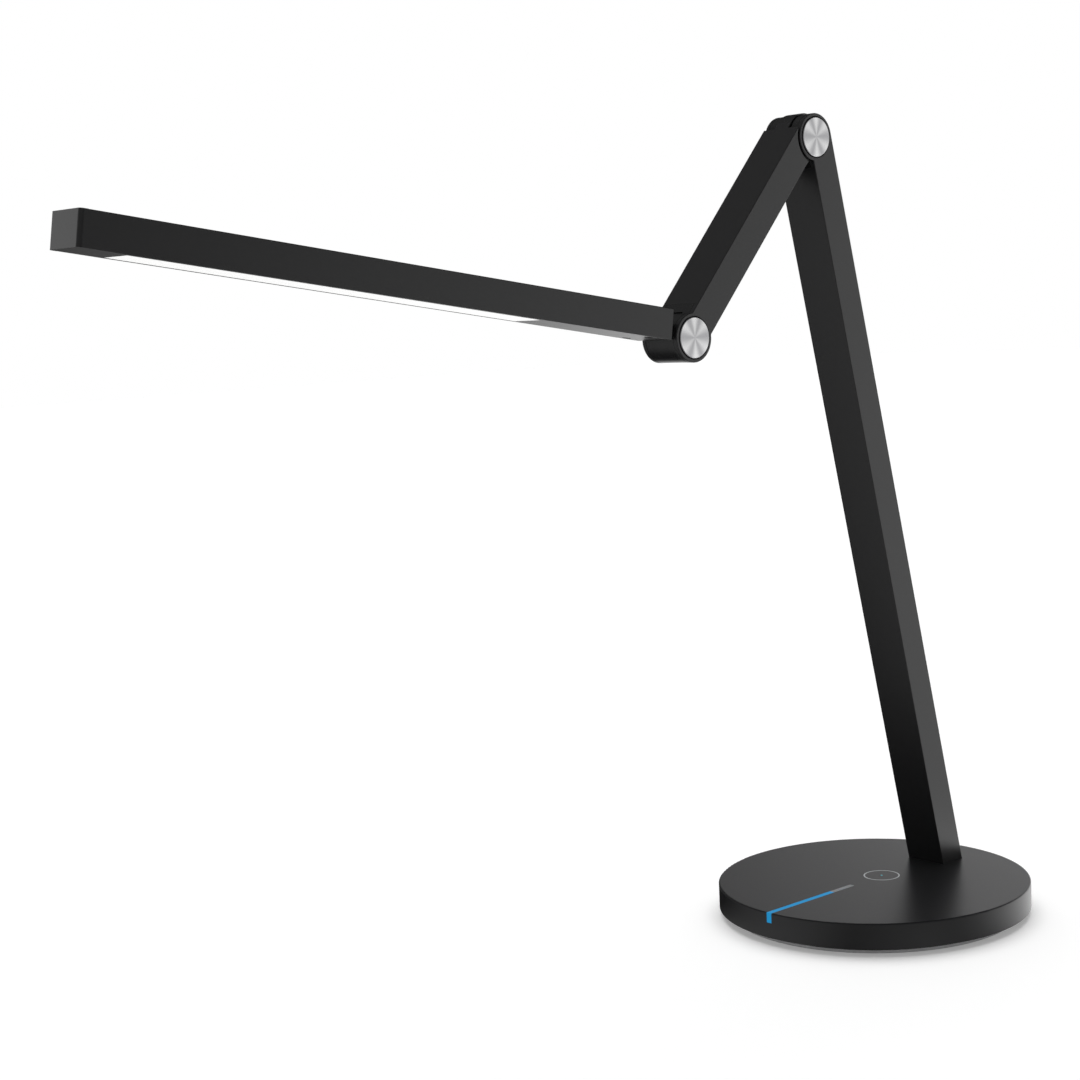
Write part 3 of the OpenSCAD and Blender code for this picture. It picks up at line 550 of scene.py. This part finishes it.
def aluminium_with_painted_rays(hinge, radius):
    """A shader for the face of a disc of this radius about this hinge's axis, with six rays of
    painted reflection in its colour.
    """
    def surface(tree):
        # The rays are painted reflection: lighter and darker strips in the base colour that
        # stand in for the highlights of lights on the turned face. They lie closer together
        # above and below the middle than at its sides, and the two upright ones are painted
        # brightest.
        from_axis = add_node(tree, "VectorMath", {
            0: add_node(tree, "TexCoord").outputs["Object"], 1: (1, 0, 1),
            2: (-hinge.x, 0, -hinge.z)}, operation="MULTIPLY_ADD").outputs[0]
        out = add_node(tree, "VectorMath", {0: from_axis}, operation="LENGTH").outputs["Value"]
        along = add_node(tree, "SeparateXYZ", {0: from_axis}).outputs
        angle = add_node(tree, "Math", {0: along["X"], 1: along["Z"]},
                         operation="ARCTAN2").outputs[0]
        cosine = add_node(tree, "Math", {0: angle}, operation="COSINE").outputs[0]
        sine = add_node(tree, "Math", {0: angle}, operation="SINE").outputs[0]
        shift = add_node(tree, "Math", {0: cosine, 1: 2 * rays_gathered_upwards,
                                        2: rays_gathered}, operation="MULTIPLY_ADD")
        gathered = add_node(tree, "Math", {0: sine, 1: shift.outputs[0], 2: angle},
                            operation="MULTIPLY_ADD")
        turned = add_node(tree, "Math", {0: gathered.outputs[0], 1: rays_round},
                          operation="MULTIPLY")
        wave = add_node(tree, "Math", {0: turned.outputs[0]}, operation="COSINE")
        ray = add_node(tree, "MapRange", {"Value": wave.outputs[0], "From Min": -1.0})
        upright = add_node(tree, "Math", {0: cosine, 1: upright_rays_narrow},
                           operation="POWER")
        height = add_node(tree, "MapRange", {"Value": upright.outputs[0], "To Min": side_rays})
        pattern = add_node(tree, "Math", {0: ray.outputs[0], 1: height.outputs[0]},
                           operation="MULTIPLY")
        contrast = add_node(tree, "MapRange", {
            "Value": out, "From Max": radius, "To Min": contrast_in_the_middle})
        faded = add_node(tree, "Math", {0: pattern.outputs[0], 1: contrast.outputs[0]},
                         operation="MULTIPLY")
        # A colour Mix has its colours at inputs 6 and 7 and its result at output 2.
        colour = add_node(tree, "Mix", {
            "Factor": faded.outputs[0], 6: linear(painted_ray_shade), 7: linear(painted_ray_highlight)},
            data_type="RGBA")
        marks = add_node(tree, "TexNoise", {
            "W": out, "Scale": 1 / turning_marks, "Detail": 1.0},
            noise_dimensions="1D").outputs["Fac"]
        wavering = add_node(tree, "MapRange", {
            "Value": marks, "From Min": noise_low, "From Max": noise_high,
            "To Min": disc_roughness[0], "To Max": disc_roughness[1]})
        cut = add_node(tree, "Bump", {
            "Height": marks, "Distance": turning_depth, "Strength": 1.0})
        grooves = add_node(tree, "Tangent", direction_type="RADIAL", axis="Y")
        return add_node(tree, "BsdfPrincipled", {
            "Base Color": colour.outputs[2], "Metallic": 1.0,
            "Roughness": wavering.outputs[0], "Anisotropic": 0.25,
            "Tangent": grooves.outputs[0], "Normal": cut.outputs[0]})
    return surface


def cut_aluminium(tree):
    # The diamond leaves clean bare metal, which draws a light line round the rim.
    return grained_surface(tree, bevel_bright, turning_marks, bevel_roughness,
                           others={"Metallic": 1.0})


def turned_disc(hinge, radius, back, face):
    """A disc turned about the hinge's axis, its face at y = face and its bevel at the rim."""
    outward = math.copysign(1.0, face)
    disc = bmesh.new()
    outline = [(0.0, face), (radius - disc_bevel, face),
               (radius, face - outward * disc_bevel), (radius, back)]
    points = [disc.verts.new((hinge.x + r, y, hinge.z)) for r, y in outline]
    for start, end in zip(points, points[1:]):
        disc.edges.new((start, end))
    bmesh.ops.spin(disc, geom=disc.verts[:] + disc.edges[:], cent=(hinge.x, 0, hinge.z),
                   axis=(0, 1, 0), angle=2 * math.pi, steps=disc_steps, use_merge=True)
    bmesh.ops.remove_doubles(disc, verts=disc.verts, dist=merge_distance)
    bmesh.ops.recalc_face_normals(disc, faces=disc.faces)
    if any(face.normal.y * outward < -facing for face in disc.faces):
        bmesh.ops.reverse_faces(disc, faces=disc.faces)
    return disc


bright_bevel = new_material("diamond_cut_aluminium", cut_aluminium)
for hinge_name, body in (("upper", "stand"), ("lower", "arm")):
    hinge = hinges[hinge_name + "_hinge"]
    low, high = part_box(f"{hinge_name}_cap_near")
    radius = (high.x - low.x) / 2
    face_with_painted_rays = new_material("aluminium_with_painted_rays_" + hinge_name,
                         aluminium_with_painted_rays(Vector((hinge.x, 0, hinge.z)), radius))
    for side, outward in (("near", 1), ("far", -1)):
        low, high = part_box(f"{hinge_name}_cap_{side}")
        back, front = (low.y, high.y) if outward > 0 else (high.y, low.y)
        disc = new_piece(f"{hinge_name}_disc_{side}",
                         turned_disc(hinge, radius, back, front), face_with_painted_rays, disc_smooth_below)
        disc.data.materials.append(bright_bevel)
        for polygon in disc.data.polygons:
            polygon.material_index = 0 if abs(polygon.normal.y) > facing else 1
        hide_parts(f"{hinge_name}_cap_{side}")
        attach(disc, body)

# ---- Light bar ----------------------------------------------------------------------------
# The housing is extruded in aluminium and anodised like the arm. A cap with rounded upright
# corners is pressed into its free end, and two screws behind its window hold the hinge.
screw_black = "#0c0c0d"


def black_oxide(tree):
    # Oiled black oxide: nearly as dark as the housing, with a metal glint.
    return grained_surface(tree, screw_black, grain=0.6 * mm, roughness=(0.35, 0.5),
                           others={"Metallic": 0.6})


finish_nodes(satin_black_anodised, "head_housing", "head_end_cap")
finish_nodes(new_material("black_oxide_steel", black_oxide), "head_screws")

# ---- LED board and reflector --------------------------------------------------------------
# A white aluminium-core board along the bar's ceiling with a row of phosphor LEDs, and the
# white moulded trough that spreads their light over the window.
board_white = "#e4e4e0"
phosphor_yellow = "#e8c84a"
phosphor_glow = 1.0
trough_white = "#eeeeec"


def white_mask(tree):
    # White lacquer with a mild gloss.
    return grained_surface(tree, board_white, grain=4 * mm, roughness=(0.3, 0.4))


def phosphor(tree):
    # Silicone full of yellow phosphor, which shines white when it is lit.
    return grained_surface(tree, phosphor_yellow, grain=0.2 * mm, roughness=(0.36, 0.44),
                           depth=0.002 * mm, others={
                               "Emission Color": linear("#ffffff"),
                               "Emission Strength": phosphor_glow})


def white_trough(tree):
    # Polycarbonate loaded with white pigment: bright, and only slightly glossy.
    return grained_surface(tree, trough_white, grain=5 * mm, roughness=(0.4, 0.5))


finish_nodes(new_material("white_solder_mask", white_mask), "led_board")
finish_nodes(new_material("yellow_phosphor", phosphor), "led_chips")
finish_nodes(new_material("white_moulding", white_trough), "reflector")

# ---- Diffuser -----------------------------------------------------------------------------
# The window: opal acrylic clipped into the housing behind its flange, lit from behind by
# the LEDs.
opal_white = "#bebebc"
window_glow = 0.64


def lit_opal(tree):
    # The opal spreads the LEDs' light until the whole window is an even white.
    return grained_surface(tree, opal_white, grain=0.8 * mm, roughness=(0.42, 0.5),
                           depth=0.003 * mm, others={
                               "Emission Color": linear("#ffffff"),
                               "Emission Strength": window_glow})


finish_nodes(new_material("lit_opal_acrylic", lit_opal), "diffuser")

# ---- Wires --------------------------------------------------------------------------------
# The two-core lead that feeds the LEDs, in an extruded PVC sheath. One stretch lies inside
# each link of the lamp.
sheath_black = "#161617"


def sheath(tree):
    # Soft PVC straight from the die: matt, with a faint sheen along the lead.
    return grained_surface(tree, sheath_black, grain=1 * mm, roughness=(0.5, 0.65))


finish_nodes(new_material("matt_black_sheath", sheath), "post_wire", "arm_wire", "head_wire")
